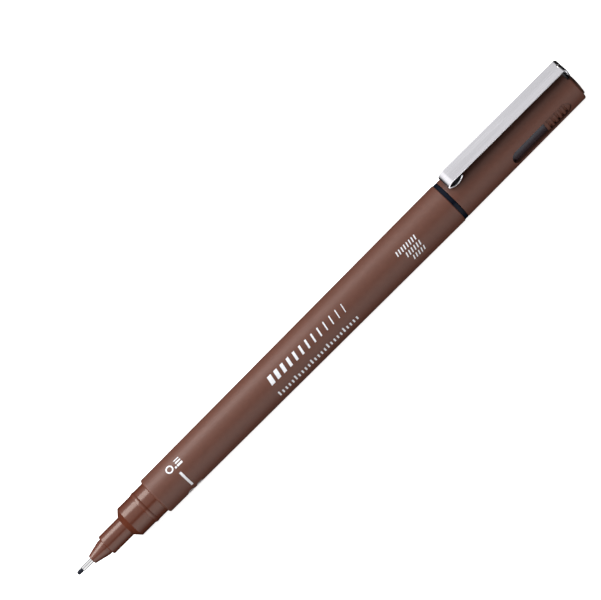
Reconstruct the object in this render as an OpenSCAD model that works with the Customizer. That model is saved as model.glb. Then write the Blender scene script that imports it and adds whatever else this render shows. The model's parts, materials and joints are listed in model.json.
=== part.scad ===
// Fine-line technical pen: capped pen with a fibre nib in a steel sleeve.
// The pen lies along X: nib tip at the origin, rear end towards +X, clip towards +Z.
// The cap is posted on the rear plug, so the nib is ready to write.

/* [Nib and tip] */
// Length of bare nib in front of the sleeve
nib_show = 1.6; // [1:0.1:2]
// Diameter of the nib
nib_d = 1; // [0.6:0.05:1.1]
// Length of sleeve that shows in front of the tip cone
sleeve_show = 2.9; // [2:0.1:4]
// Outer diameter of the steel sleeve
sleeve_d = 1.2; // [1.15:0.05:1.4]
// Length of the tip cone that shows, with its short straight base
cone_len = 4.5; // [4:0.1:6]
// Diameter of the cone at its front
cone_front_d = 2.25; // [1.8:0.05:2.5]
// Diameter of the cone's base
cone_base_d = 4.05; // [3.9:0.05:4.3]

/* [Front section] */
// Length of the narrow nose
nose_len = 6.1; // [5:0.1:8]
// Diameter of the narrow nose
nose_d = 5.2; // [5:0.1:5.3]
// Length of the chamfer behind the nose
chamfer_len = 1.4; // [1:0.1:2]
// Length of the seat that the cap or an adaptor slides on
seat_len = 4.1; // [3:0.1:6]
// Diameter of the cap seat
seat_d = 8.2; // [8:0.05:8.3]
// Length of the snap bead
bead_len = 1.2; // [0.8:0.1:1.4]
// Diameter over the snap bead
bead_d = 8.6; // [8.5:0.01:8.6]
// Length of the plain neck between the bead and the barrel
neck_len = 2.6; // [2:0.1:4]
// Diameter of the neck
neck_d = 8.4; // [8.3:0.05:8.4]

/* [Barrel] */
// Length of the barrel
barrel_len = 92.6; // [80:0.1:105]
// Diameter of the barrel at its front
barrel_front_d = 9.7; // [9.4:0.1:10]
// Diameter of the barrel at its rear
barrel_rear_d = 10.65; // [10.4:0.05:11]
// Bore of the barrel
barrel_bore_d = 7.4; // [7:0.1:7.6]

/* [Rear plug] */
// Thickness of the collar that shows behind the barrel
collar_len = 1.05; // [0.7:0.05:1.5]
// Diameter of the collar
collar_d = 10.35; // [10.2:0.05:10.4]
// Length of the post behind the collar
post_len = 4.8; // [4:0.1:6]
// Diameter of the post at the collar
post_root_d = 8.25; // [8.1:0.05:8.3]
// Diameter of the post at its flared rim
post_rim_d = 8.45; // [8.35:0.05:8.5]

/* [Cap] */
// Length of the cap shell
cap_len = 37.4; // [36:0.1:40]
// Diameter of the shell at its mouth
cap_mouth_d = 10.35; // [10.3:0.05:10.55]
// Diameter of the shell at its closed end
cap_end_d = 10; // [9.9:0.05:10.3]
// Bore of the shell
cap_bore_d = 8.6; // [8.56:0.01:8.66]
// Distance from the mouth to the windows
window_at = 15.4; // [15:0.1:16]
// Length of each window
window_len = 17.9; // [17:0.1:18.5]
// Width of each window
window_w = 3.35; // [3.1:0.05:3.6]
// Height of the windows' middle above the pen's axis
window_z = 0.6; // [0.4:0.05:0.7]
// Distance from the mouth to the ribbed pads
pad_at = 25.9; // [25.7:0.1:27]
// Number of grooves across each ribbed pad
groove_count = 5; // [3:1:5]
// Distance from groove to groove
groove_pitch = 1.2; // [1:0.05:1.3]

/* [Clip] */
// Width of the clip strip
clip_w = 3.9; // [3.6:0.1:4.4]
// Thickness of the clip strip
clip_t = 0.5; // [0.4:0.05:0.6]
// Length of the clip, from the cap's end to the tip of its loop
clip_len = 36.9; // [35:0.1:38]
// Height of the clip's outer face above the pen's axis
clip_height = 7.6; // [7.5:0.1:7.8]
// Diameter of the small hole through the clip's bend
clip_hole_d = 1.1; // [0.6:0.1:1.2]

/* [Hidden] */

// Smoothness of round parts and of small edge arcs
round_fn = 96;
edge_fn = 32;
// Extra length that lets a cutter pass clear of a face
past = 1;

// Places along the pen, from the nib tip
sleeve_x = nib_show;
cone_x = sleeve_x + sleeve_show;
nose_x = cone_x + cone_len;
chamfer_x = nose_x + nose_len;
seat_x = chamfer_x + chamfer_len;
bead_x = seat_x + seat_len;
neck_x = bead_x + bead_len;
barrel_x = neck_x + neck_len;
collar_x = barrel_x + barrel_len;
post_x = collar_x + collar_len;
cap_end_x = post_x + cap_len;

// Tip holder and its seat in the nose
cone_base_len = 0.8;
nose_recess = 0.28;
nose_recess_d = cone_base_d + 0.3;
holder_stem_d = 3.8;
holder_stem_len = 11.2;
sleeve_hidden = 4.9;
wick_d = 1.7;
wick_bore_d = 1.8;

// Spigots that close the two ends of the barrel
spigot_len = 8.6;
spigot_bore_d = 5.8;
section_web_x = seat_x + 4.5;
plug_spigot_len = 10.4;
plug_bore_d = 5.2;
plug_floor = 1.4;

// Ink reservoir between the two spigots
film_t = 0.15;
film_gap = 0.05;
reservoir_x = barrel_x + spigot_len;
reservoir_end_x = collar_x - plug_spigot_len;
wick_depth = 7;

// Cap: end wall, liner and crown
end_wall = 1.2;
crown_d = 8;
crown_flat = 2.4;
crown_proud = 0.3;
crown_dome = 0.4;
rim_slope = 0.25;
turn_gap = 0.02;
liner_gap = 0.05;
liner_at = 8;
liner_d = cap_bore_d - 2 * turn_gap;
liner_seat_d = nose_d + 0.3;
liner_tip_d = 4.6;
liner_seat_len = 7.6;
liner_wall = 0.9;
pad_recess = 0.3;
groove_w = 0.6;
groove_depth = 0.6;

// Clip: bends, tab, hinge and loop
bend_r = 0.9;
hole_tilt = 22;
tab_bend_r = 0.75;
tab_w = 2.4;
tab_len = 6;
tab_z = 3.6;
leg_proud = 0.4;
hinge_gap = 0.02;
hinge_back = 1.5;
clip_slope = 0.3;
brow_r = 2.5;
brow_turn = 35;
nose_r = 0.45;
loop_dip = 55;
foot_r = 2.1;
tail_rise = 40;
tail_len = 1;
shell_gap = 0.03;
notch_w = 4.8;
notch_depth = 0.85;
notch_z = 3.4;
slot_gap = 0.05;
leg_x = cap_end_x + leg_proud;
clip_mid_z = clip_height - clip_t / 2;
hinge_x = leg_x - hinge_back;

// Stands a profile drawn as (radius, place along the pen) round the pen's axis
module turned() {
    rotate([0, 90, 0])
        rotate_extrude($fn = round_fn)
            children();
}

// A plain round rod between two places along the pen
module rod(d, from_x, to_x) {
    translate([from_x, 0, 0])
        rotate([0, 90, 0])
            cylinder(d = d, h = to_x - from_x, $fn = round_fn);
}

// What rounding takes off an outer corner; toward is 1 for a rear edge and -1 for a front edge
module corner_cut(r, x, fillet, toward) {
    translate([r - fillet, x - toward * fillet])
        scale([1, toward])
            difference() {
                square(2 * fillet);
                circle(r = fillet, $fn = edge_fn);
            }
}

// A window-shaped bar along Y through the cap, cut short of the window's edge by inset
module window_bar(inset) {
    r = window_w / 2 - inset;
    from_x = post_x + window_at + window_w / 2;
    to_x = post_x + window_at + window_len - window_w / 2;
    translate([0, 0, window_z])
        rotate([90, 0, 0])
            linear_extrude(height = 2 * cap_mouth_d, center = true) {
                translate([from_x, -r])
                    square([to_x - from_x, 2 * r]);
                for (x = [from_x, to_x])
                    translate([x, 0])
                        circle(r = r, $fn = round_fn);
            }
}

module barrel() {
    front_r = barrel_front_d / 2;
    rear_r = barrel_rear_d / 2;
    bore_r = barrel_bore_d / 2;
    color("#6b4a41")
        turned()
            difference() {
                polygon([
                    [bore_r, barrel_x],
                    [front_r, barrel_x],
                    [rear_r, collar_x],
                    [bore_r, collar_x]
                ]);
                corner_cut(front_r, barrel_x, 0.5, -1);
                corner_cut(rear_r, collar_x, 0.2, 1);
            }
}

// The snap bead is a shallow arc as long as bead_len and as high as the step from the neck
module bead_profile() {
    rise = (bead_d - neck_d) / 2 + 0.05;
    r = (pow(bead_len / 2, 2) + pow(rise, 2)) / (2 * rise);
    intersection() {
        translate([bead_d / 2 - r, bead_x + bead_len / 2])
            circle(r = r, $fn = round_fn);
        translate([neck_d / 2 - 0.3, bead_x])
            square([1, bead_len]);
    }
}

module front_section() {
    stem_r = holder_stem_d / 2;
    color("#6a3f33")
        turned() {
            difference() {
                polygon([
                    [nose_recess_d / 2, nose_x],
                    [nose_d / 2, nose_x],
                    [nose_d / 2, chamfer_x],
                    [seat_d / 2, seat_x],
                    [seat_d / 2, bead_x],
                    [neck_d / 2, bead_x + bead_len / 2],
                    [neck_d / 2, barrel_x],
                    [barrel_bore_d / 2, barrel_x],
                    [barrel_bore_d / 2, reservoir_x],
                    [spigot_bore_d / 2, reservoir_x],
                    [spigot_bore_d / 2, section_web_x],
                    [stem_r, section_web_x],
                    [stem_r, nose_x + nose_recess],
                    [nose_recess_d / 2, nose_x + nose_recess]
                ]);
                corner_cut(nose_d / 2, nose_x, 0.3, -1);
            }
            bead_profile();
        }
}

module tip_holder() {
    base_r = cone_base_d / 2;
    shoulder_x = nose_x + nose_recess;
    stem_end_x = nose_x + holder_stem_len;
    sleeve_end_x = cone_x + sleeve_hidden;
    color("#6a3f33")
        turned()
            difference() {
                polygon([
                    [sleeve_d / 2, cone_x],
                    [cone_front_d / 2, cone_x],
                    [base_r, nose_x - cone_base_len],
                    [base_r, shoulder_x],
                    [holder_stem_d / 2, shoulder_x],
                    [holder_stem_d / 2, stem_end_x],
                    [wick_bore_d / 2, stem_end_x],
                    [wick_bore_d / 2, sleeve_end_x],
                    [sleeve_d / 2, sleeve_end_x]
                ]);
                corner_cut(cone_front_d / 2, cone_x, 0.15, -1);
            }
}

module nib_sleeve() {
    color("#d9dadc")
        difference() {
            rod(sleeve_d, sleeve_x, cone_x + sleeve_hidden);
            rod(nib_d, sleeve_x - past, cone_x + sleeve_hidden + past);
        }
}

module nib() {
    nib_r = nib_d / 2;
    wick_x = cone_x + sleeve_hidden;
    color("#15171c")
        turned() {
            intersection() {
                translate([0, nib_r])
                    circle(r = nib_r, $fn = round_fn);
                square([nib_r, nib_r]);
            }
            translate([0, nib_r])
                square([nib_r, wick_x - nib_r]);
            translate([0, wick_x])
                square([wick_d / 2, reservoir_x + wick_depth - wick_x]);
        }
}

module ink_reservoir() {
    d = barrel_bore_d - 2 * (film_gap + film_t);
    color("#23242b")
        difference() {
            rod(d, reservoir_x, reservoir_end_x);
            rod(wick_d, reservoir_x - past, reservoir_x + wick_depth);
        }
}

module reservoir_film() {
    d = barrel_bore_d - 2 * film_gap;
    color("#e8eaec")
        difference() {
            rod(d, reservoir_x, reservoir_end_x);
            rod(d - 2 * film_t, reservoir_x - past, reservoir_end_x + past);
        }
}

module rear_plug() {
    spigot_r = barrel_bore_d / 2;
    post_end_x = post_x + post_len;
    rim_r = post_rim_d / 2;
    end_fillet = 0.6;
    color("#17191d")
        turned()
            difference() {
                polygon([
                    [plug_bore_d / 2, reservoir_end_x],
                    [spigot_r, reservoir_end_x],
                    [spigot_r, collar_x],
                    [collar_d / 2, collar_x],
                    [collar_d / 2, post_x],
                    [post_root_d / 2, post_x],
                    [rim_r, post_end_x - end_fillet],
                    [rim_r, post_end_x],
                    [0, post_end_x],
                    [0, collar_x - plug_floor],
                    [plug_bore_d / 2, collar_x - plug_floor]
                ]);
                corner_cut(collar_d / 2, post_x, 0.2, 1);
                corner_cut(rim_r, post_end_x, end_fillet, 1);
            }
}

// The opening in the shell's end: round, with a flat on the clip's side
module crown_opening(from_x, to_x) {
    intersection() {
        rod(crown_d, from_x, to_x);
        translate([from_x - past, -crown_d, -crown_d])
            cube([to_x - from_x + 2 * past, 2 * crown_d, crown_d + crown_flat]);
    }
}

module cap_shell() {
    mouth_r = cap_mouth_d / 2;
    end_r = cap_end_d / 2;
    color("#6b4a41")
        difference() {
            turned()
                difference() {
                    polygon([
                        [0, post_x],
                        [mouth_r, post_x],
                        [end_r, cap_end_x - 2 * rim_slope],
                        [end_r - rim_slope / 2, cap_end_x - rim_slope],
                        [crown_d / 2, cap_end_x],
                        [0, cap_end_x]
                    ]);
                    corner_cut(mouth_r, post_x, 0.15, -1);
                }
            rod(cap_bore_d, post_x - past, cap_end_x - end_wall);
            crown_opening(cap_end_x - end_wall - past, cap_end_x + past);
            window_bar(0);
            translate([cap_end_x - notch_depth, -notch_w / 2, notch_z])
                cube([notch_depth + past, notch_w, cap_mouth_d]);
            translate([cap_end_x - end_wall - past, -tab_w / 2 - slot_gap, tab_z - clip_t - slot_gap])
                cube([end_wall + 2 * past, tab_w + 2 * slot_gap, clip_t + 2 * slot_gap]);
        }
}

module inner_cap() {
    mouth_x = post_x + liner_at;
    wall_x = post_x + pad_at - liner_gap;
    floor_x = wall_x - liner_wall;
    seat_end_x = mouth_x + liner_seat_len;
    color("#cfd4da", 0.45)
        turned()
            difference() {
                translate([0, mouth_x])
                    square([liner_d / 2, wall_x - mouth_x]);
                polygon([
                    [0, mouth_x - past],
                    [seat_d / 2, mouth_x - past],
                    [seat_d / 2 - 0.1, mouth_x],
                    [liner_seat_d / 2, mouth_x + chamfer_len],
                    [liner_seat_d / 2, seat_end_x],
                    [liner_tip_d / 2, seat_end_x + 0.5],
                    [liner_tip_d / 2, floor_x - 0.4],
                    [liner_tip_d / 2 - 0.4, floor_x],
                    [0, floor_x]
                ]);
            }
}

// Parts of rings that cut the grooves across the two ribbed pads
module pad_grooves() {
    floor_r = cap_end_d / 2 - pad_recess - groove_depth;
    first_x = post_x + pad_at + 0.8;
    intersection() {
        window_bar(-slot_gap);
        for (i = [0 : groove_count - 1])
            difference() {
                rod(cap_mouth_d + 2, first_x + i * groove_pitch, first_x + i * groove_pitch + groove_w);
                rod(2 * floor_r, first_x - past, cap_end_x);
            }
    }
}

module cap_crown() {
    stem_x = post_x + pad_at;
    shoulder_x = cap_end_x - end_wall;
    face_x = cap_end_x + crown_proud;
    // The face is a shallow dome, crown_dome high over its width
    dome_r = (pow(crown_d / 2, 2) + pow(crown_dome, 2)) / (2 * crown_dome);
    color("#6b4a41")
        difference() {
            union() {
                rod(cap_bore_d, stem_x, shoulder_x);
                intersection() {
                    crown_opening(shoulder_x, face_x + past);
                    turned()
                        intersection() {
                            translate([0, face_x + crown_dome - dome_r])
                                circle(r = dome_r, $fn = 4 * round_fn);
                            translate([0, shoulder_x - past])
                                square([crown_d, dome_r]);
                        }
                }
                intersection() {
                    window_bar(0.04);
                    rod(cap_end_d - 2 * pad_recess, stem_x, shoulder_x);
                }
            }
            pad_grooves();
            translate([shoulder_x - tab_len - slot_gap, -tab_w / 2 - slot_gap, tab_z - clip_t - slot_gap])
                cube([tab_len + past, tab_w + 2 * slot_gap, cap_bore_d]);
        }
}

// Points of an arc, as (x, z) pairs
function arc(centre, r, from_a, to_a, steps) =
    [for (i = [0 : steps]) let (a = from_a + (to_a - from_a) * i / steps)
        centre + r * [cos(a), sin(a)]];

// Extrudes a side view drawn as (x, z) across the clip's width
module side_view(w) {
    rotate([90, 0, 0])
        linear_extrude(height = w, center = true)
            children();
}

module clip_root() {
    top_centre = [leg_x - bend_r, clip_height - bend_r];
    tab_centre = [leg_x - tab_bend_r, tab_z - clip_t + tab_bend_r];
    tab_end_x = cap_end_x - end_wall - tab_len;
    bend_steps = 12;
    shoulder_z = tab_centre[1] + 0.35;
    corner_r = 0.7;
    color("#c9cbce")
        difference() {
            intersection() {
                side_view(clip_w)
                    difference() {
                        polygon(concat(
                            [[hinge_x, clip_height]],
                            arc(top_centre, bend_r, 90, 0, bend_steps),
                            arc(tab_centre, tab_bend_r, 0, -90, bend_steps),
                            [[tab_end_x, tab_z - clip_t], [tab_end_x, tab_z]],
                            arc(tab_centre, tab_bend_r - clip_t, -90, 0, bend_steps),
                            arc(top_centre, bend_r - clip_t, 0, 90, bend_steps),
                            [[hinge_x, clip_height - clip_t]]
                        ));
                        translate([hinge_x, clip_mid_z])
                            circle(r = clip_t / 2 + hinge_gap, $fn = edge_fn);
                    }
                // Seen along the pen, the leg is full width above its shoulders and narrow at the tab
                rotate([90, 0, 90])
                    translate([0, 0, tab_end_x - past])
                        linear_extrude(height = leg_x - tab_end_x + 2 * past) {
                            translate([-clip_w / 2, shoulder_z + corner_r])
                                square([clip_w, clip_height]);
                            translate([corner_r - clip_w / 2, shoulder_z])
                                square([clip_w - 2 * corner_r, corner_r]);
                            for (side = [-1, 1])
                                translate([side * (clip_w / 2 - corner_r), shoulder_z + corner_r])
                                    circle(r = corner_r, $fn = edge_fn);
                            translate([-tab_w / 2, 0])
                                square([tab_w, clip_height]);
                        }
            }
            translate([top_centre[0], 0, top_centre[1]])
                rotate([0, hole_tilt, 0])
                    cylinder(d = clip_hole_d, h = 3 * bend_r, $fn = edge_fn);
        }
}

// The arm's middle line is a list of stations, each with its place and heading: [x, z, degrees]
function last(path) = path[len(path) - 1];

function bent(from, r, turn, steps) =
    [for (i = [1 : steps]) let (a = from[2], b = a + turn * i / steps)
        [from[0] + r * (sin(b) - sin(a)), from[1] + r * (cos(a) - cos(b)), b]];

function straight(from, length) =
    [[from[0] + length * cos(from[2]), from[1] + length * sin(from[2]), from[2]]];

function edge(path, offset) =
    [for (s = path) [s[0] - offset * sin(s[2]), s[1] + offset * cos(s[2])]];

// The arm is drawn level and then tipped by its slope; its end is rolled under into an open loop
module clip_arm() {
    tip_x = leg_x - clip_len;
    half_t = clip_t / 2;
    brow_x = tip_x + half_t + brow_r * sin(brow_turn) + nose_r * (1 - sin(brow_turn));
    // The tip rises by the slope, so the loop reaches down further by the same amount
    lift = (hinge_x - tip_x) * sin(clip_slope);
    foot_z = cap_mouth_d / 2 + shell_gap + half_t - lift;
    brow = bent([brow_x, clip_mid_z, 180], brow_r, brow_turn, 12);
    front = bent(last(brow), nose_r, 180 - loop_dip - brow_turn, 12);
    drop = last(front)[1] - foot_z - foot_r * (1 - cos(loop_dip));
    dip = straight(last(front), drop / sin(loop_dip));
    foot = bent(last(dip), foot_r, loop_dip + tail_rise, 16);
    tail = straight(last(foot), tail_len);
    path = concat([[hinge_x, clip_mid_z, 180], [brow_x, clip_mid_z, 180]], brow, front, dip, foot, tail);
    inner = edge(path, half_t);
    color("#c9cbce")
        translate([hinge_x, 0, clip_mid_z])
            rotate([0, clip_slope, 0])
                translate([-hinge_x, 0, -clip_mid_z])
                    side_view(clip_w) {
                        polygon(concat(edge(path, -half_t), [for (i = [1 : len(inner)]) inner[len(inner) - i]]));
                        translate([hinge_x, clip_mid_z])
                            circle(r = half_t, $fn = edge_fn);
                    }
}

barrel();
front_section();
tip_holder();
nib_sleeve();
nib();
ink_reservoir();
reservoir_film();
rear_plug();
cap_shell();
inner_cap();
cap_crown();
clip_root();
clip_arm();
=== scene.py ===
"""Technical pen with its cap posted: looks, clip strip, print, studio and camera round the CAD frame."""
import json
import math

import bmesh
import bpy
from mathutils import Matrix, Vector


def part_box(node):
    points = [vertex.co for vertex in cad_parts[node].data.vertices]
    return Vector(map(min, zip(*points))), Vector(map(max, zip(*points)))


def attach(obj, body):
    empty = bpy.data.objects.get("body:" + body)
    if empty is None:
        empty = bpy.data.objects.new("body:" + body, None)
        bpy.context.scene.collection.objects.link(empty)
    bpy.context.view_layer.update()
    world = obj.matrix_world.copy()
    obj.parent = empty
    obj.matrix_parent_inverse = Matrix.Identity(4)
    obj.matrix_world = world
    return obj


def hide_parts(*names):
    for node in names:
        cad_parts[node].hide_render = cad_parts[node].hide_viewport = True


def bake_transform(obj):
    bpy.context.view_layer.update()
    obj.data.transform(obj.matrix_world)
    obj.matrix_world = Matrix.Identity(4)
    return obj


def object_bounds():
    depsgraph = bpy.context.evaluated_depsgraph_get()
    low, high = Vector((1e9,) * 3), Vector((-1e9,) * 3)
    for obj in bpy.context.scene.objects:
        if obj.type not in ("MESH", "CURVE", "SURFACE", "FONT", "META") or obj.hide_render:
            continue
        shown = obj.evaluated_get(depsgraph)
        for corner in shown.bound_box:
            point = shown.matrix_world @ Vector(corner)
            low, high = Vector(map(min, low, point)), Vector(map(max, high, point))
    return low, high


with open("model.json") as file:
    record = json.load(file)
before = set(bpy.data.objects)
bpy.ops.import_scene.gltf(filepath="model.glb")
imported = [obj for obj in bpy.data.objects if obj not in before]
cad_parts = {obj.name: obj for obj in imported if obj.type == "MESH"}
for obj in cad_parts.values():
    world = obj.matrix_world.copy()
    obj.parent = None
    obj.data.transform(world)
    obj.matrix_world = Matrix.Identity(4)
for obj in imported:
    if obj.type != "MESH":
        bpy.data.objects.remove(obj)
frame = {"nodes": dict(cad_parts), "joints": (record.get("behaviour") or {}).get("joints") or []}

CAD_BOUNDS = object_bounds()
MM = 0.001

# ---------------------------------------------------------------- the photograph's view

VIEW_ELEVATION = math.radians(54.4)
VIEW_ROLL = math.radians(45)
CAMERA_DISTANCE = 0.8
LENS_MM = 215
SENSOR_MM = 36
# The pen lies below and to the right of the frame's diagonal, and a little short of its middle
FRAME_OFFSET = 8.1 * MM
FRAME_SHIFT = 0.21 * MM

ALONG = Vector((1, 0, 0))
TO_CAMERA = Vector((0, -math.cos(VIEW_ELEVATION), math.sin(VIEW_ELEVATION)))
# Across the pen in the image, towards the clip
ACROSS = TO_CAMERA.cross(ALONG)


def camera_direction(degrees):
    """The direction that leans this many degrees from the camera's, round the pen, towards the clip."""
    lean = math.radians(degrees)
    return math.cos(lean) * TO_CAMERA + math.sin(lean) * ACROSS


# ---------------------------------------------------------------- materials

class Surface:
    """A Principled material with helpers for procedural detail in object space, in metres."""

    # Nearly all of a noise's values, and of an ambient occlusion's from a deep groove to an open face
    NOISE_SPAN = (0.3, 0.7)
    OPENNESS_SPAN = (0.35, 0.95)

    def __init__(self, name, color, roughness, **inputs):
        self.material = bpy.data.materials.new(name)
        self.material.use_nodes = True
        self.nodes = self.material.node_tree.nodes
        self.links = self.material.node_tree.links
        self.shader = self.nodes["Principled BSDF"]
        self.shader.inputs["Base Color"].default_value = (*color, 1)
        self.shader.inputs["Roughness"].default_value = roughness
        for key, value in inputs.items():
            self.shader.inputs[key.replace("_", " ")].default_value = value
        self.place = self.nodes.new("ShaderNodeTexCoord").outputs["Object"]
        self.normal = None

    def node(self, kind, **settings):
        """A new node; each setting is one of its properties or, with _ for a space, one of its inputs."""
        made = self.nodes.new(kind)
        for key, value in settings.items():
            if hasattr(made, key):
                setattr(made, key, value)
            else:
                made.inputs[key.replace("_", " ")].default_value = value
        return made

    def stretched(self, factors):
        """Object space scaled by factors, so that a noise is drawn out along an axis."""
        mapping = self.node("ShaderNodeMapping", Scale=factors)
        self.links.new(self.place, mapping.inputs["Vector"])
        return mapping.outputs["Vector"]

    def noise(self, scale, detail=3.0, place=None):
        made = self.node("ShaderNodeTexNoise", Scale=scale, Detail=detail)
        self.links.new(place or self.place, made.inputs["Vector"])
        return made.outputs["Fac"]

    def ramp(self, value, span, low, high):
        """Runs from low to high as value goes through span."""
        made = self.node("ShaderNodeMapRange", From_Min=span[0], From_Max=span[1], To_Min=low, To_Max=high)
        self.links.new(value, made.inputs["Value"])
        return made.outputs["Result"]

    def bump(self, height, strength, distance):
        """Adds a bump; a later bump lies on top of the earlier ones."""
        made = self.node("ShaderNodeBump", Strength=strength, Distance=distance)
        self.links.new(height, made.inputs["Height"])
        if self.normal is not None:
            self.links.new(self.normal, made.inputs["Normal"])
        self.normal = made.outputs["Normal"]
        self.links.new(self.normal, self.shader.inputs["Normal"])

    def soft_edges(self, radius):
        """Rounds the shading over sharp edges; it comes before any bump."""
        made = self.node("ShaderNodeBevel", samples=6, Radius=radius)
        self.normal = made.outputs["Normal"]
        self.links.new(self.normal, self.shader.inputs["Normal"])

    def vary_color(self, value, low, high, span=NOISE_SPAN):
        """Multiplies the colour so far by a factor that runs from low to high with value."""
        base = self.shader.inputs["Base Color"]
        mix = self.node("ShaderNodeVectorMath", operation="SCALE")
        if base.is_linked:
            self.links.new(base.links[0].from_socket, mix.inputs[0])
        else:
            mix.inputs[0].default_value = base.default_value[:3]
        self.links.new(self.ramp(value, span, low, high), mix.inputs["Scale"])
        self.links.new(mix.outputs["Vector"], base)

    def paint_crevice_shade(self, reach, low):
        """Paints shade into the colour where faces lie closer than reach to each other."""
        made = self.node("ShaderNodeAmbientOcclusion", samples=8, Distance=reach)
        self.vary_color(made.outputs["AO"], low, 1.0, self.OPENNESS_SPAN)

    def paint_groove_light(self, reach, high):
        """Paints light into the colour of the piece's own narrow grooves, so that the painted shade there
        stays soft.
        """
        made = self.node("ShaderNodeAmbientOcclusion", samples=8, only_local=True, Distance=reach)
        self.vary_color(made.outputs["AO"], high, 1.0, self.OPENNESS_SPAN)

    def vary_roughness(self, value, low, high):
        self.links.new(self.ramp(value, self.NOISE_SPAN, low, high), self.shader.inputs["Roughness"])


def matte_brown():
    """Spark-textured matte plastic of the barrel and the cap."""
    s = Surface(
        "matte_brown", (0.123, 0.0470, 0.0315), 0.42,
        Specular_IOR_Level=0.38, Specular_Tint=(1, 0.94, 0.91, 1))
    s.soft_edges(0.12 * MM)
    s.vary_color(s.noise(900, 5), 0.95, 1.05)
    # Painted shade in the crevices, in the window and on the cap under the clip
    s.paint_crevice_shade(5 * MM, 0.4)
    # Painted light in the narrow grooves, which softens the painted shade in them
    s.paint_groove_light(1 * MM, 3.2)
    s.vary_roughness(s.noise(2600, 3), 0.38, 0.46)
    s.bump(s.noise(9000, 2), 0.25, 0.01 * MM)
    return s.material


def gloss_brown():
    """Smooth moulded plastic of the front section and the tip holder."""
    s = Surface(
        "gloss_brown", (0.104, 0.028, 0.015), 0.19,
        Specular_IOR_Level=0.55, Specular_Tint=(1, 0.89, 0.82, 1))
    s.soft_edges(0.06 * MM)
    s.vary_color(s.noise(500, 3), 0.96, 1.04)
    s.vary_roughness(s.noise(1200, 4), 0.17, 0.23)
    s.bump(s.noise(700, 1), 0.02, 0.01 * MM)
    return s.material


def gloss_black():
    """Polished black plastic of the rear plug."""
    s = Surface(
        "gloss_black", (0.004, 0.006, 0.012), 0.14,
        Specular_IOR_Level=0.13, Specular_Tint=(0.74, 0.80, 1, 1))
    s.soft_edges(0.06 * MM)
    s.vary_roughness(s.noise(1500, 4), 0.12, 0.17)
    s.bump(s.noise(700, 1), 0.02, 0.01 * MM)
    return s.material


def black_fibre():
    """Dense ink-black fibre of the nib, with fibres that run along it."""
    s = Surface("black_fibre", (0.010, 0.013, 0.024), 0.38, Specular_IOR_Level=0.15)
    fibres = s.noise(9000, 3, s.stretched((0.08, 1, 1)))
    s.vary_roughness(fibres, 0.3, 0.5)
    s.bump(fibres, 0.3, 0.01 * MM)
    return s.material


def ink_fibre():
    """Ink-soaked bundle of fibres in the reservoir."""
    s = Surface("ink_fibre", (0.015, 0.015, 0.022), 0.7)
    fibres = s.noise(5000, 4, s.stretched((0.05, 1, 1)))
    s.vary_color(fibres, 0.6, 1.6)
    s.bump(fibres, 0.6, 0.05 * MM)
    return s.material


def clear_film():
    """Thin clear wrap of the reservoir, slightly wrinkled."""
    s = Surface("clear_film", (0.85, 0.87, 0.9), 0.12, Transmission_Weight=1.0, IOR=1.45)
    s.bump(s.noise(400, 3), 0.3, 0.05 * MM)
    return s.material


def clear_plastic():
    """Clear liner of the cap, coloured dark and mostly opaque as painted shade of the cap's inside: thin
    enough to see into, with a smooth skin and a little flow in it.
    """
    s = Surface(
        "clear_plastic", (0.052, 0.035, 0.042), 0.10,
        Alpha=0.8, IOR=1.7, Specular_Tint=(0.74, 0.88, 1, 1))
    s.vary_color(s.noise(300, 2), 0.94, 1.06)
    s.vary_roughness(s.noise(900, 3), 0.09, 0.12)
    s.bump(s.noise(200, 1), 0.01, 0.01 * MM)
    return s.material


def bright_steel():
    """Polished thin tube, with faint lines drawn along it."""
    s = Surface("bright_steel", (0.54, 0.545, 0.55), 0.06, Metallic=1.0)
    drawn = s.noise(12000, 2, s.stretched((0.03, 1, 1)))
    s.vary_roughness(drawn, 0.04, 0.09)
    s.bump(drawn, 0.03, 0.002 * MM)
    return s.material


def brushed_steel():
    """Strip steel of the clip, brushed along its length."""
    s = Surface("brushed_steel", (0.70, 0.70, 0.74), 0.3, Metallic=1.0, Anisotropic=0.5)
    fine = s.noise(16000, 3, s.stretched((0.012, 1, 1)))
    broad = s.noise(2500, 3, s.stretched((0.03, 1, 1)))
    s.vary_color(broad, 0.95, 1.05)
    # Painted shade inside the clip's loop and round its root, in a short deep pass and a wider soft one
    s.paint_crevice_shade(1.5 * MM, 0.12)
    s.paint_crevice_shade(2.5 * MM, 0.4)
    s.vary_roughness(fine, 0.24, 0.38)
    s.bump(fine, 0.35, 0.006 * MM)
    return s.material


def white_print():
    """Opaque white pad print, slightly thin in places."""
    s = Surface("white_print", (0.84, 0.86, 0.90), 0.45)
    s.vary_color(s.noise(4000, 4), 0.9, 1.05)
    s.bump(s.noise(9000, 2), 0.2, 0.01 * MM)
    return s.material


MATERIALS = {
    make.__name__: make()
    for make in (
        matte_brown, gloss_brown, gloss_black, black_fibre, ink_fibre,
        clear_film, clear_plastic, bright_steel, brushed_steel, white_print,
    )
}
NODE_MATERIALS = {
    "barrel": "matte_brown",
    "front_section": "gloss_brown",
    "tip_holder": "gloss_brown",
    "nib_sleeve": "bright_steel",
    "nib": "black_fibre",
    "ink_reservoir": "ink_fibre",
    "reservoir_film": "clear_film",
    "rear_plug": "gloss_black",
    "cap_shell": "matte_brown",
    "inner_cap": "clear_plastic",
    "cap_crown": "matte_brown",
    "clip_root": "brushed_steel",
    "clip_arm": "brushed_steel",
}


def dress(obj, material):
    obj.data.materials.clear()
    obj.data.materials.append(MATERIALS[material])


for node_name, material_name in NODE_MATERIALS.items():
    dress(frame["nodes"][node_name], material_name)


# ---------------------------------------------------------------- clip strip

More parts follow.
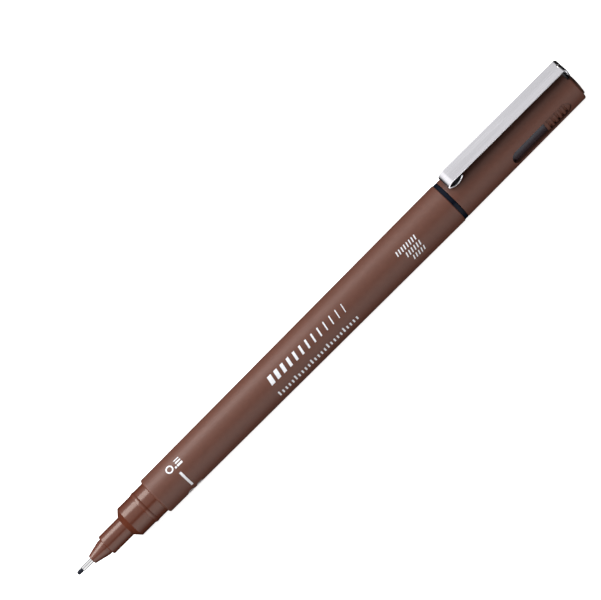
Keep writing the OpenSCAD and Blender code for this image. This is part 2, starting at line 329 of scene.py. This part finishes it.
class StripPath:
    """Middle line of a bent strip seen from the side: stations of (x, z, heading), in metres and radians."""

    def __init__(self, x, z, degrees):
        self.x = x
        self.z = z
        self.heading = math.radians(degrees)
        self.stations = [(x, z, self.heading)]

    def go(self, length, steps):
        for _ in range(steps):
            self.x += length / steps * math.cos(self.heading)
            self.z += length / steps * math.sin(self.heading)
            self.stations.append((self.x, self.z, self.heading))

    def turn(self, radius, degrees, steps):
        """Bends to the left round a centre that lies radius away."""
        centre_x = self.x - radius * math.sin(self.heading)
        centre_z = self.z + radius * math.cos(self.heading)
        for _ in range(steps):
            self.heading += math.radians(degrees) / steps
            self.x = centre_x + radius * math.sin(self.heading)
            self.z = centre_z - radius * math.cos(self.heading)
            self.stations.append((self.x, self.z, self.heading))


def strip_section(width, thickness, edge):
    """Outline of the strip's cross section, as (across, through), with rounded edges and close-set flats."""
    steps = 3
    hold = 0.06 * MM
    outline = []
    # Each corner's rounded edge is followed or led by a point on the flat beside it
    for corner, (side, face) in enumerate(((1, 1), (-1, 1), (-1, -1), (1, -1))):
        centre = (side * (width / 2 - edge), face * (thickness / 2 - edge))
        arc = []
        for i in range(steps + 1):
            angle = math.radians(90 * (corner + i / steps))
            arc.append((centre[0] + edge * math.cos(angle), centre[1] + edge * math.sin(angle)))
        flat = (centre[0] - side * hold, face * thickness / 2)
        if side == face:
            outline += [*arc, flat]
        else:
            outline += [flat, *arc]
    return outline


def clip_path(root, arm, hinge_x, thickness):
    """From the tab in the cap's end wall, up the leg, over the top and along the arm to the tail."""
    half = thickness / 2
    # Radii of the bends, to the strip's middle, and angles in degrees
    tab_bend = 0.5 * MM
    top_bend = 0.65 * MM
    hinge_bend = 0.5 * MM
    slope = 0.3
    brow = 2.5 * MM
    brow_turn = 35
    nose = 0.45 * MM
    dip = 55
    foot = 2.1 * MM
    tail_rise = 40
    tail_len = 1 * MM
    path = StripPath(root[0].x, root[0].z + half, 0)
    path.go(root[1].x - half - tab_bend - path.x, 6)
    path.turn(tab_bend, 90, 12)
    path.go(root[1].z - half - top_bend - path.z, 40)
    path.turn(top_bend, 90, 16)
    path.go(path.x - hinge_x, 2)
    path.turn(hinge_bend, -slope, 1)
    # The brow and the nose bend down until the strip's outer face reaches the arm's front end
    level, bowed = math.radians(180 - slope), math.radians(180 - slope + brow_turn)
    reach = brow * (math.sin(level) - math.sin(bowed)) + nose * (1 + math.sin(bowed))
    path.go((path.x - arm[0].x - half - reach) / math.cos(math.radians(slope)), 90)
    path.turn(brow, brow_turn, 16)
    path.turn(nose, 180 - dip - brow_turn, 20)
    # The straight dip reaches down until the foot's bend ends at the arm's lowest point
    down = math.radians(dip + slope)
    drop = path.z - (arm[0].z + half) - foot * (1 - math.cos(down))
    path.go(drop / math.sin(down), 1)
    path.turn(foot, dip + tail_rise, 24)
    path.go(tail_len, 3)
    return path.stations


def strip_mesh(stations, width_at, thickness):
    """The strip as a closed mesh: its cross section swept through the stations."""
    edge = 0.08 * MM
    bm = bmesh.new()
    rings = []
    for x, z, heading in stations:
        ring = []
        for across, through in strip_section(width_at(x, z), thickness, edge):
            spot = (x - through * math.sin(heading), across, z + through * math.cos(heading))
            ring.append(bm.verts.new(spot))
        rings.append(ring)
    for near, far in zip(rings, rings[1:]):
        for i in range(len(near)):
            j = (i + 1) % len(near)
            bm.faces.new((near[i], near[j], far[j], far[i]))
    bm.faces.new(rings[0])
    bm.faces.new(rings[-1])
    bmesh.ops.recalc_face_normals(bm, faces=bm.faces)
    mesh = bpy.data.meshes.new("clip_strip")
    bm.to_mesh(mesh)
    bm.free()
    return mesh


def new_piece(name, mesh, material):
    """An object of the mesh, smooth except over edges that turn by more than 40 degrees."""
    for polygon in mesh.polygons:
        polygon.use_smooth = True
    mesh.set_sharp_from_angle(angle=math.radians(40))
    mesh.name = name
    obj = bpy.data.objects.new(name, mesh)
    bpy.context.scene.collection.objects.link(obj)
    dress(obj, material)
    return obj


def drilled(mesh, place, axis, diameter, length):
    """The mesh with a round hole of that diameter through it."""
    bm = bmesh.new()
    bmesh.ops.create_cone(
        bm, cap_ends=True, segments=48, radius1=diameter / 2, radius2=diameter / 2, depth=length)
    drill_mesh = bpy.data.meshes.new("drill")
    bm.to_mesh(drill_mesh)
    bm.free()
    drill = bpy.data.objects.new("drill", drill_mesh)
    drill.matrix_world = Matrix.Translation(place) @ axis.to_track_quat("Z", "Y").to_matrix().to_4x4()
    blank = bpy.data.objects.new("blank", mesh)
    for obj in (drill, blank):
        bpy.context.scene.collection.objects.link(obj)
    cut = blank.modifiers.new("cut", "BOOLEAN")
    cut.object = drill
    cut.solver = "EXACT"
    bpy.context.view_layer.update()
    done = bpy.data.meshes.new_from_object(blank.evaluated_get(bpy.context.evaluated_depsgraph_get()))
    for obj in (drill, blank):
        bpy.data.objects.remove(obj)
    return done


def clip_strip():
    """The clip as one bent strip, from its root in the cap to its arm."""
    root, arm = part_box("clip_root"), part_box("clip_arm")
    flex = next(joint for joint in frame["joints"] if joint["name"] == "clip_flex")
    hinge = Vector(flex["pos_m"])
    thickness = 2 * (root[1].z - hinge.z)
    full_width = root[1].y - root[0].y
    tab_width = 2.4 * MM
    # The leg widens from the tab's width to the full width over rounded shoulders
    shoulder_r = (full_width - tab_width) / 2
    shoulder_z = root[0].z + 1.1 * MM
    bend_r = 0.9 * MM
    hole_d = 1.1 * MM
    hole_tilt = math.radians(22)
    drill_len = 1.5 * MM

    def width_at(x, z):
        if x < hinge.x or z > shoulder_z + shoulder_r:
            return full_width
        if x < root[1].x - thickness or z < shoulder_z:
            return tab_width
        rise = shoulder_z + shoulder_r - z
        return tab_width + 2 * math.sqrt(max(0, shoulder_r ** 2 - rise ** 2))

    mesh = strip_mesh(clip_path(root, arm, hinge.x, thickness), width_at, thickness)
    bend_centre = Vector((root[1].x - bend_r, 0, root[1].z - bend_r))
    outward = Vector((math.sin(hole_tilt), 0, math.cos(hole_tilt)))
    mesh = drilled(mesh, bend_centre + bend_r * outward, outward, hole_d, drill_len)
    strip = new_piece("clip_strip", mesh, "brushed_steel")
    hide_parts("clip_root", "clip_arm")
    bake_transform(strip)
    return strip


# ---------------------------------------------------------------- print on the barrel

# How far the ink stands out of the barrel and reaches into it
INK_TOP = 0.012 * MM
INK_SINK = 0.02 * MM


class BarrelPrint:
    """Slabs of ink wrapped on the barrel. Places are millimetres along from its front edge and round it."""

    def __init__(self, name, lean):
        """lean is the angle from the camera's direction at which the distance round the barrel is 0."""
        self.name = name
        self.lean = lean
        self.bm = bmesh.new()
        points = [v.co for v in frame["nodes"]["barrel"].data.vertices]
        self.front_x = min(p.x for p in points)
        near_front = [p for p in points if p.x < self.front_x + 1 * MM]
        self.ends = [max(group, key=lambda p: math.hypot(p.y, p.z)) for group in (near_front, points)]

    def radius(self, x):
        """The barrel's radius at x, from its widest points at both ends."""
        a, b = self.ends
        share = (x - a.x) / (b.x - a.x)
        return (1 - share) * math.hypot(a.y, a.z) + share * math.hypot(b.y, b.z)

    def vertex(self, along, around, height):
        x = self.front_x + along * MM
        radius = self.radius(x)
        turned = self.lean + math.degrees(around * MM / radius)
        out = camera_direction(turned) * (radius + height)
        return self.bm.verts.new((x, out.y, out.z))

    def slab(self, rungs, closed=False):
        """A band of ink through rungs, each a pair of places (along, around)."""
        rows = [
            [self.vertex(*place, height) for height in (INK_TOP, -INK_SINK) for place in rung]
            for rung in rungs
        ]
        if not closed:
            for row in (rows[0], rows[-1]):
                self.bm.faces.new((row[0], row[1], row[3], row[2]))
        following = rows[1:] + rows[:1] if closed else rows[1:]
        for a, b in zip(rows, following):
            for i, j in ((0, 1), (1, 3), (3, 2), (2, 0)):
                self.bm.faces.new((a[i], a[j], b[j], b[i]))

    def stroke(self, along, around, thick, tall, slant=0.0):
        """A straight stroke round the barrel, centred on a place; slant leans its far end along the pen."""
        longest_step = 0.3
        steps = max(1, math.ceil(tall / longest_step))
        rungs = []
        for i in range(steps + 1):
            offset = tall * (i / steps - 0.5)
            middle = along + slant * offset
            rungs.append(((middle - thick / 2, around + offset), (middle + thick / 2, around + offset)))
        self.slab(rungs)

    def ring(self, along, around, diameter, thick):
        steps = 40
        rungs = []
        for i in range(steps):
            angle = math.tau * i / steps
            spoke = [
                (along + r * math.cos(angle), around + r * math.sin(angle))
                for r in (diameter / 2 - thick, diameter / 2)
            ]
            rungs.append(spoke)
        self.slab(rungs, closed=True)

    def finish(self):
        bmesh.ops.recalc_face_normals(self.bm, faces=self.bm.faces)
        mesh = bpy.data.meshes.new(self.name)
        self.bm.to_mesh(mesh)
        self.bm.free()
        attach(new_piece(self.name, mesh, "white_print"), "pen")


def width_sign(name, lean):
    """A small generic sign of line width: a ring, a dot and three sample lines."""
    sign = BarrelPrint(name, lean)
    sign.ring(along=6.75, around=0, diameter=1.9, thick=0.34)
    sign.stroke(along=8.15, around=-0.72, thick=0.46, tall=0.46)
    for around, weight in ((-0.7, 0.5), (0.05, 0.36), (0.7, 0.22)):
        sign.stroke(along=9.35, around=around, thick=1.5, tall=weight)
    sign.finish()


def width_line():
    """The stroke that shows the pen's line, drawn part of the way round."""
    line = BarrelPrint("print_width_line", -26.5)
    line.stroke(along=8.0, around=0, thick=0.58, tall=4.5)
    line.finish()


def line_scale():
    """A generic scale of slanted strokes that run from bold to fine, in place of the printed name."""
    scale = BarrelPrint("print_line_scale", 2)
    count = 13
    boldest, finest = 1.15, 0.22
    start, end = 36.8, 59.3
    for i in range(count):
        share = i / (count - 1)
        thick = boldest * (finest / boldest) ** share
        scale.stroke(start + (end - start) * share, 0, thick, tall=2.1, slant=0.2)
    scale.finish()


def ruler():
    """A plain millimetre ruler in place of the printed slogan."""
    ticks = BarrelPrint("print_ruler", -42)
    first = 36
    foot = -0.65
    for i in range(25):
        tall = 1.35 if i % 5 == 0 else 0.95
        ticks.stroke(first + i, foot + tall / 2, thick=0.4, tall=tall)
    ticks.finish()


def hatch_rows():
    """Three generic rows of hatching in place of the printed note, in line at their rear ends."""
    rows = BarrelPrint("print_hatch_rows", -17)
    last = 81.6
    pitch = 0.78
    for around, count in ((1.65, 8), (0, 6), (-1.65, 5)):
        for i in range(count):
            rows.stroke(last - pitch * i, around, thick=0.3, tall=1.15, slant=0.25)
    rows.finish()


strip = clip_strip()
width_sign("print_width_sign", 25)
width_sign("print_width_sign_2", -80)
width_line()
line_scale()
ruler()
hatch_rows()


# ---------------------------------------------------------------- studio

# Brightness of the surroundings by lean from the camera's direction, in degrees; positive leans to the clip
PANELS = [
    (-180, 0), (-125, 0), (-105, 0.08), (-86, 0.6), (-62, 1.25), (-40, 1.2), (-24, 1.05),
    (-20, 0.06), (-8, 0.06),
    (-3, 0.55), (25, 0.8), (45, 0.95), (72, 0.9), (90, 0.7), (110, 0.25), (128, 0.03), (180, 0),
]
PANEL_TINT = (1.0, 0.985, 0.98)


def paint_panels(ramp, brightest):
    """Sets the ramp's stops, from one turn's start to its end, to the panels' share of the brightest."""
    ramp.elements.remove(ramp.elements[-1])
    for i, (degrees, level) in enumerate(PANELS):
        spot = (degrees + 180) / 360
        element = ramp.elements[0] if i == 0 else ramp.elements.new(spot)
        element.position = spot
        element.color = (*(level / brightest * tint for tint in PANEL_TINT), 1)


def studio_world():
    """Soft surroundings of long panels parallel to the pen; the camera itself sees plain white."""
    world = bpy.data.worlds.new("studio")
    bpy.context.scene.world = world
    world.use_nodes = True
    nodes, links = world.node_tree.nodes, world.node_tree.links
    nodes.clear()
    place = nodes.new("ShaderNodeTexCoord").outputs["Generated"]

    def along(direction):
        """How far the view runs in that direction, from -1 to 1."""
        dot = nodes.new("ShaderNodeVectorMath")
        dot.operation = "DOT_PRODUCT"
        dot.inputs[1].default_value = direction
        links.new(place, dot.inputs[0])
        return dot.outputs["Value"]

    def remapped(value, from_min, from_max, to_min=0.0, to_max=1.0, kind="LINEAR"):
        made = nodes.new("ShaderNodeMapRange")
        made.interpolation_type = kind
        settings = (from_min, from_max, to_min, to_max)
        for key, number in zip(("From Min", "From Max", "To Min", "To Max"), settings):
            made.inputs[key].default_value = number
        links.new(value, made.inputs["Value"])
        return made.outputs["Result"]

    def product(first, second):
        made = nodes.new("ShaderNodeMath")
        made.operation = "MULTIPLY"
        links.new(first, made.inputs[0])
        links.new(second, made.inputs[1])
        return made.outputs["Value"]

    lean = nodes.new("ShaderNodeMath")
    lean.operation = "ARCTAN2"
    links.new(along(ACROSS), lean.inputs[0])
    links.new(along(TO_CAMERA), lean.inputs[1])
    share = remapped(lean.outputs["Value"], -math.pi, math.pi)
    glow = nodes.new("ShaderNodeValToRGB")
    links.new(share, glow.inputs["Fac"])
    brightest = max(level for _, level in PANELS)
    paint_panels(glow.color_ramp, brightest)
    # The panels end beyond the nib and beyond the cap, and are brighter before the nib
    forward = along(ALONG)
    nib_end = remapped(forward, -0.76, -0.64, kind="SMOOTHSTEP")
    cap_end = remapped(forward, 0.2, 0.5, 1.0, 0.0, kind="SMOOTHSTEP")
    near_nib = remapped(forward, -0.03, -0.10, 1.0, 1.75, kind="SMOOTHSTEP")
    scale = nodes.new("ShaderNodeVectorMath")
    scale.operation = "SCALE"
    links.new(glow.outputs["Color"], scale.inputs[0])
    links.new(product(product(nib_end, cap_end), near_nib), scale.inputs["Scale"])

    soft = nodes.new("ShaderNodeBackground")
    links.new(scale.outputs["Vector"], soft.inputs["Color"])
    soft.inputs["Strength"].default_value = brightest
    white = nodes.new("ShaderNodeBackground")
    white.inputs["Color"].default_value = (1, 1, 1, 1)
    pick = nodes.new("ShaderNodeMixShader")
    links.new(nodes.new("ShaderNodeLightPath").outputs["Is Camera Ray"], pick.inputs["Fac"])
    links.new(soft.outputs["Background"], pick.inputs[1])
    links.new(white.outputs["Background"], pick.inputs[2])
    out = nodes.new("ShaderNodeOutputWorld")
    links.new(pick.outputs["Shader"], out.inputs["Surface"])


def softbox(name, lean, distance, length, width, power, shift=0.0):
    """A long area light parallel to the pen, lean degrees round it from the camera and shifted along it."""
    light = bpy.data.lights.new(name, "AREA")
    light.shape = "RECTANGLE"
    light.size = length
    light.size_y = width
    light.energy = power
    obj = bpy.data.objects.new(name, light)
    bpy.context.scene.collection.objects.link(obj)
    towards = camera_direction(lean)
    side = towards.cross(ALONG)
    turn = Matrix((ALONG, side, towards)).transposed().to_4x4()
    middle = (CAD_BOUNDS[0] + CAD_BOUNDS[1]) / 2 + shift * ALONG
    obj.matrix_world = Matrix.Translation(middle + distance * towards) @ turn
    obj.visible_camera = False
    return obj


def shade_from(light, pieces):
    """The light doesn't reach these pieces, as behind a studio flag."""
    skipped = bpy.data.collections.new(light.name + "_flag")
    light.light_linking.receiver_collection = skipped
    for piece in pieces:
        skipped.objects.link(piece)
    for link in skipped.collection_objects:
        link.light_linking.link_state = "EXCLUDE"


def shine_only_on(light, pieces):
    """The light reaches only these pieces, as a small card held close to them would."""
    lit = bpy.data.collections.new(light.name + "_card")
    light.light_linking.receiver_collection = lit
    for piece in pieces:
        lit.objects.link(piece)


def floor():
    """A pale sheet that only the camera sees, so that the pen's underside isn't lit by it."""
    size = 3.0
    low = CAD_BOUNDS[0].z - 0.02 * MM
    mesh = bpy.data.meshes.new("floor")
    corners = [(-size, -size, low), (size, -size, low), (size, size, low), (-size, size, low)]
    mesh.from_pydata(corners, [], [(0, 1, 2, 3)])
    obj = bpy.data.objects.new("floor", mesh)
    bpy.context.scene.collection.objects.link(obj)
    s = Surface(
        "pale_floor", (0.8, 0.8, 0.8), 0.9,
        Specular_IOR_Level=0.0, Emission_Color=(1, 1, 1, 1), Emission_Strength=0.85)
    s.vary_color(s.noise(40, 3), 0.99, 1.01)
    mesh.materials.append(s.material)
    obj.visible_diffuse = False
    obj.visible_glossy = False
    obj.visible_transmission = False
    obj.visible_shadow = False


def camera():
    """Looks across the pen from the photograph's height, rolled so that the pen rises to the right."""
    data = bpy.data.cameras.new("camera")
    data.lens = LENS_MM
    data.sensor_width = SENSOR_MM
    data.clip_start = 0.01
    obj = bpy.data.objects.new("camera", data)
    bpy.context.scene.collection.objects.link(obj)
    right = math.cos(VIEW_ROLL) * ALONG - math.sin(VIEW_ROLL) * ACROSS
    up = math.sin(VIEW_ROLL) * ALONG + math.cos(VIEW_ROLL) * ACROSS
    middle = Vector(((CAD_BOUNDS[0].x + CAD_BOUNDS[1].x) / 2, 0, 0))
    target = middle + FRAME_OFFSET * ACROSS + FRAME_SHIFT * ALONG
    turn = Matrix((right, up, TO_CAMERA)).transposed().to_4x4()
    obj.matrix_world = Matrix.Translation(target + CAMERA_DISTANCE * TO_CAMERA) @ turn
    bpy.context.scene.camera = obj


studio_world()
# The key light lies before the nib, so that the barrel darkens towards the cap
key = softbox("key", lean=63, distance=0.6, length=1.2, width=0.38, power=8.5, shift=-0.62)
shade_from(key, [strip, frame["nodes"]["nib_sleeve"]])
# The rim light ends short of the cap's end, so that the clip's leg stays dark
rim = softbox("rim", lean=-109, distance=0.6, length=0.5, width=0.3, power=2.4, shift=-0.22)
shine_only_on(rim, [strip])
floor()
camera()
bpy.context.scene.view_settings.view_transform = "Standard"
